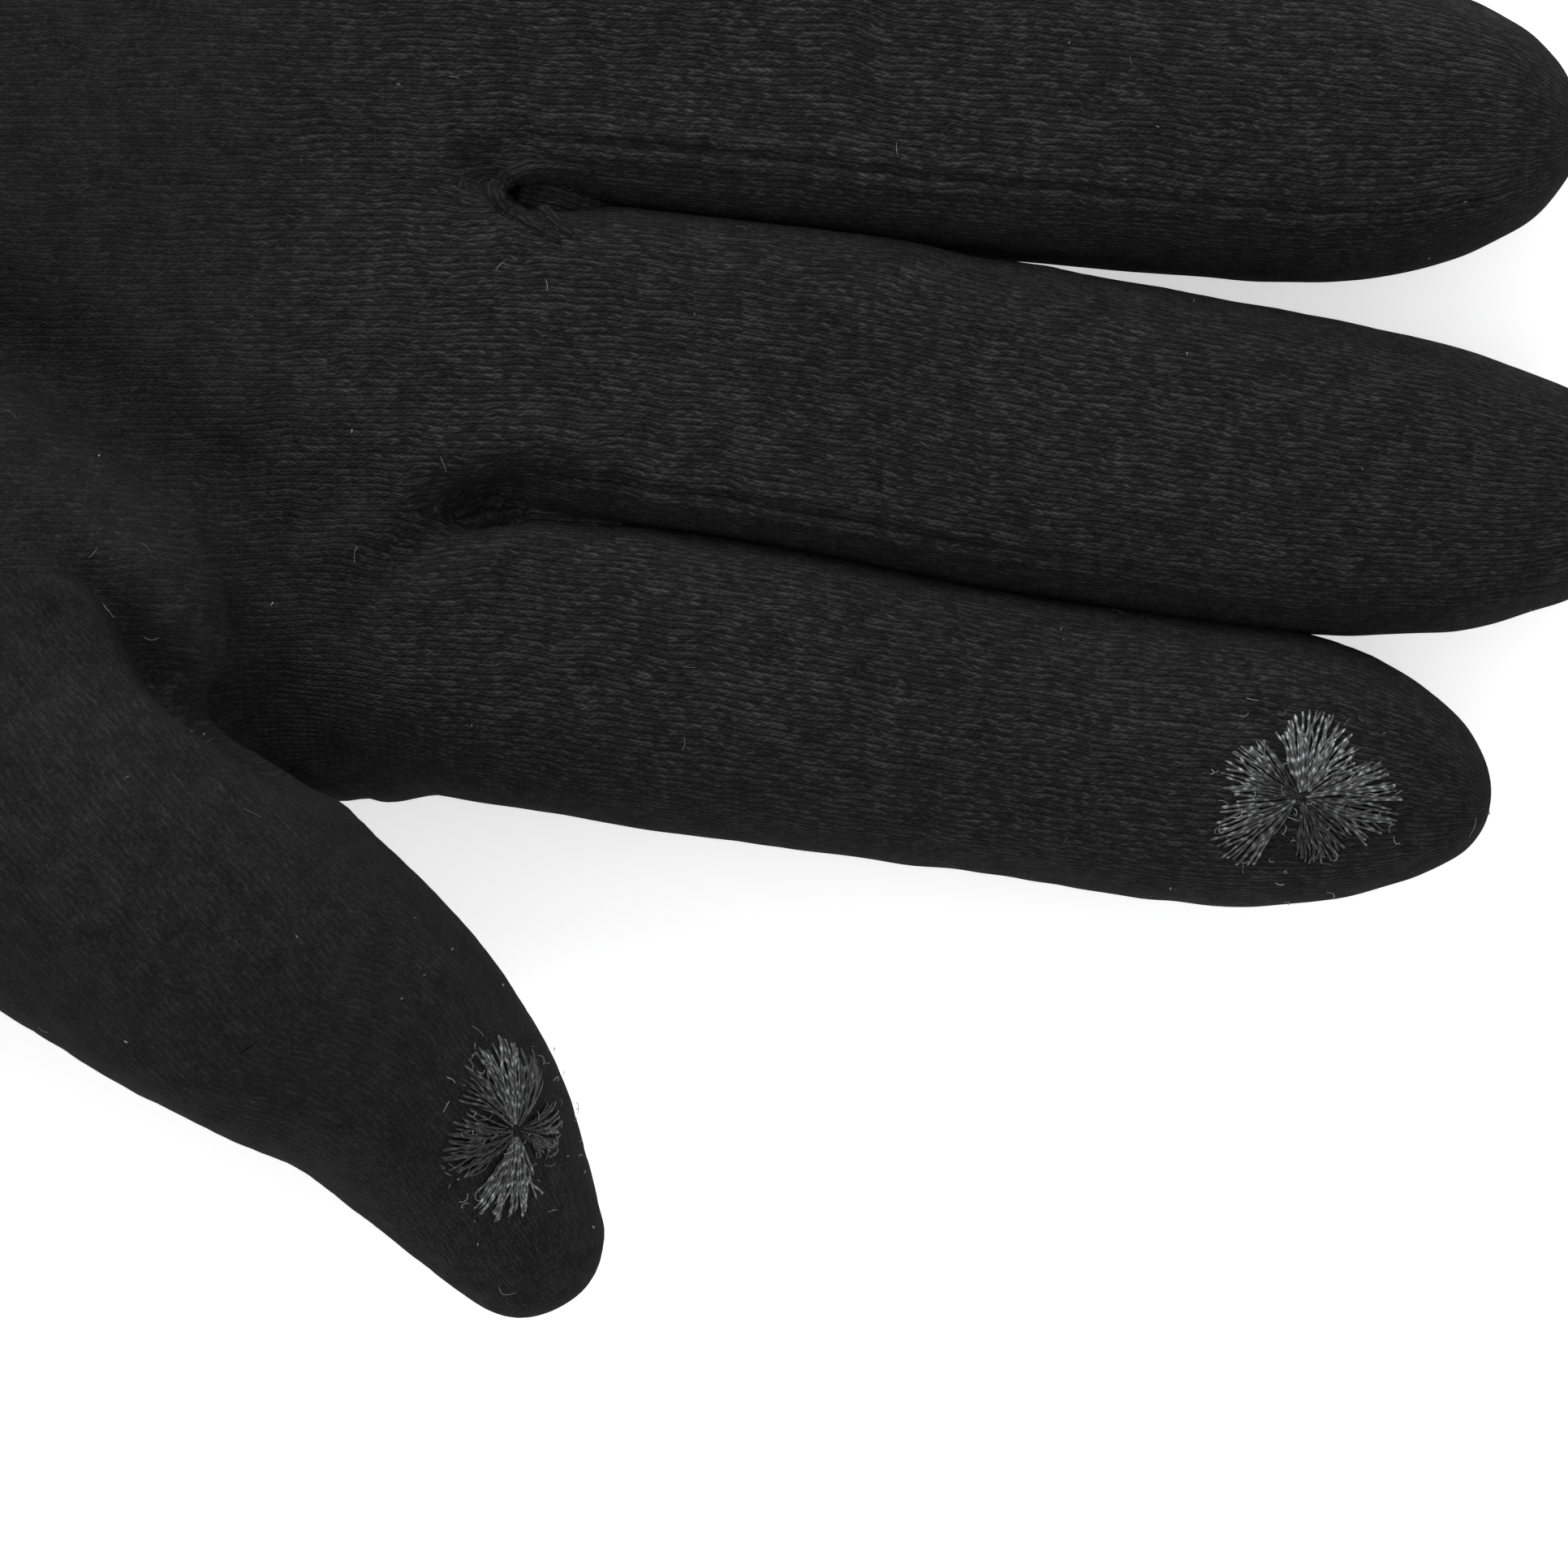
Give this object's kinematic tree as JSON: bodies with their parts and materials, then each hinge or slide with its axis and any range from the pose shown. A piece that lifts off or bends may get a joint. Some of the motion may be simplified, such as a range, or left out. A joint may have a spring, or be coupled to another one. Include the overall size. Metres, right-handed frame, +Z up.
{
  "type": "touchscreen glove",
  "caption": "Right-hand knitted jersey glove in its worn shape, hollow, with sewn fourchettes between the fingers, bending fingers and thumb, and conductive embroidery on index and thumb tips.",
  "frame": {"origin": "middle of the footprint, on the surface that the glove lies on, back down", "axes": "+X from the cuff to the fingertips (the longest way), +Y towards the little finger, +Z up out of the palm (the shortest way)"},
  "size_m": [0.225, 0.1084, 0.038],
  "materials": {
    "knit": "fine black jersey knit, matt, slightly fuzzy",
    "fourchette_knit": "the same black jersey, cut across",
    "conductive_thread": "silver-grey satin stitch in conductive thread, soft sheen",
    "elastic": "black covered elastic",
    "label": "blank dark woven tape"
  },
  "bodies": {
    "hand": {"back_panel": "knit", "care_label": "label", "cuff_hem": "knit", "fourchette_crotch_index_middle": "fourchette_knit", "fourchette_crotch_middle_ring": "fourchette_knit", "fourchette_crotch_ring_little": "fourchette_knit", "palm_panel": "knit", "thumb_gusset": "knit", "wrist_elastic": "elastic"},
    "index_base": {"index_base_back_panel": "knit", "index_base_fourchette_middle_side": "fourchette_knit", "index_base_palm_panel": "knit"},
    "index_middle": {"index_middle_back_panel": "knit", "index_middle_fourchette_middle_side": "fourchette_knit", "index_middle_palm_panel": "knit"},
    "index_tip": {"index_tip_back_panel": "knit", "index_tip_fourchette_middle_side": "fourchette_knit", "index_tip_palm_panel": "knit", "index_conductive_pad": "conductive_thread"},
    "middle_base": {"middle_base_back_panel": "knit", "middle_base_fourchette_index_side": "fourchette_knit", "middle_base_fourchette_ring_side": "fourchette_knit", "middle_base_palm_panel": "knit"},
    "middle_middle": {"middle_middle_back_panel": "knit", "middle_middle_fourchette_index_side": "fourchette_knit", "middle_middle_fourchette_ring_side": "fourchette_knit", "middle_middle_palm_panel": "knit"},
    "middle_tip": {"middle_tip_back_panel": "knit", "middle_tip_fourchette_index_side": "fourchette_knit", "middle_tip_fourchette_ring_side": "fourchette_knit", "middle_tip_palm_panel": "knit"},
    "ring_base": {"ring_base_back_panel": "knit", "ring_base_fourchette_little_side": "fourchette_knit", "ring_base_fourchette_middle_side": "fourchette_knit", "ring_base_palm_panel": "knit"},
    "ring_middle": {"ring_middle_back_panel": "knit", "ring_middle_fourchette_little_side": "fourchette_knit", "ring_middle_fourchette_middle_side": "fourchette_knit", "ring_middle_palm_panel": "knit"},
    "ring_tip": {"ring_tip_back_panel": "knit", "ring_tip_fourchette_little_side": "fourchette_knit", "ring_tip_fourchette_middle_side": "fourchette_knit", "ring_tip_palm_panel": "knit"},
    "little_base": {"little_base_back_panel": "knit", "little_base_fourchette_ring_side": "fourchette_knit", "little_base_palm_panel": "knit"},
    "little_middle": {"little_middle_back_panel": "knit", "little_middle_fourchette_ring_side": "fourchette_knit", "little_middle_palm_panel": "knit"},
    "little_tip": {"little_tip_back_panel": "knit", "little_tip_fourchette_ring_side": "fourchette_knit", "little_tip_palm_panel": "knit"},
    "thumb_base": {"thumb_base_segment": "knit"},
    "thumb_tip": {"thumb_tip_segment": "knit", "thumb_conductive_pad": "conductive_thread"}
  },
  "joints": [
    {"name": "index_base_knuckle", "type": "hinge", "parent": "hand", "child": "index_base", "pos_m": [0.0444, -0.0127, 0.01664], "axis": [-0.1181, -0.993, 0], "range_deg": [0, 70]},
    {"name": "index_middle_knuckle", "type": "hinge", "parent": "index_base", "child": "index_middle", "pos_m": [0.06422, -0.01534, 0.01507], "axis": [-0.1181, -0.993, 0], "range_deg": [0, 80]},
    {"name": "index_tip_knuckle", "type": "hinge", "parent": "index_middle", "child": "index_tip", "pos_m": [0.08306, -0.01784, 0.01331], "axis": [-0.1181, -0.993, 0], "range_deg": [0, 40]},
    {"name": "middle_base_knuckle", "type": "hinge", "parent": "hand", "child": "middle_base", "pos_m": [0.04651, 0.00716, 0.01706], "axis": [-0.1181, -0.993, 0], "range_deg": [0, 70]},
    {"name": "middle_middle_knuckle", "type": "hinge", "parent": "middle_base", "child": "middle_middle", "pos_m": [0.06935, 0.00444, 0.01545], "axis": [-0.1181, -0.993, 0], "range_deg": [0, 80]},
    {"name": "middle_tip_knuckle", "type": "hinge", "parent": "middle_middle", "child": "middle_tip", "pos_m": [0.0912, 0.00184, 0.01368], "axis": [-0.1181, -0.993, 0], "range_deg": [0, 40]},
    {"name": "ring_base_knuckle", "type": "hinge", "parent": "hand", "child": "ring_base", "pos_m": [0.04655, 0.02679, 0.01664], "axis": [-0.1181, -0.993, 0], "range_deg": [0, 70]},
    {"name": "ring_middle_knuckle", "type": "hinge", "parent": "ring_base", "child": "ring_middle", "pos_m": [0.06751, 0.02543, 0.01509], "axis": [-0.1181, -0.993, 0], "range_deg": [0, 80]},
    {"name": "ring_tip_knuckle", "type": "hinge", "parent": "ring_middle", "child": "ring_tip", "pos_m": [0.08797, 0.02411, 0.01325], "axis": [-0.1181, -0.993, 0], "range_deg": [0, 40]},
    {"name": "little_base_knuckle", "type": "hinge", "parent": "hand", "child": "little_base", "pos_m": [0.03926, 0.04557, 0.01498], "axis": [-0.1181, -0.993, 0], "range_deg": [0, 70]},
    {"name": "little_middle_knuckle", "type": "hinge", "parent": "little_base", "child": "little_middle", "pos_m": [0.05524, 0.04615, 0.01312], "axis": [-0.1181, -0.993, 0], "range_deg": [0, 80]},
    {"name": "little_tip_knuckle", "type": "hinge", "parent": "little_middle", "child": "little_tip", "pos_m": [0.07073, 0.04672, 0.01147], "axis": [-0.1181, -0.993, 0], "range_deg": [0, 40]},
    {"name": "thumb_base_knuckle", "type": "hinge", "parent": "hand", "child": "thumb_base", "pos_m": [0.02469, -0.03023, 0.03338], "axis": [-0.6703, -0.7188, 0.1844], "range_deg": [0, 35]},
    {"name": "thumb_tip_knuckle", "type": "hinge", "parent": "thumb_base", "child": "thumb_tip", "pos_m": [0.03232, -0.03653, 0.0269], "axis": [-0.6703, -0.7188, 0.1844], "range_deg": [0, 60]}
  ],
  "couplings": [
    {"joint": "index_tip_knuckle", "follows": "index_middle_knuckle", "ratio": 0.5},
    {"joint": "middle_tip_knuckle", "follows": "middle_middle_knuckle", "ratio": 0.5},
    {"joint": "ring_tip_knuckle", "follows": "ring_middle_knuckle", "ratio": 0.5},
    {"joint": "little_tip_knuckle", "follows": "little_middle_knuckle", "ratio": 0.5}
  ]
}
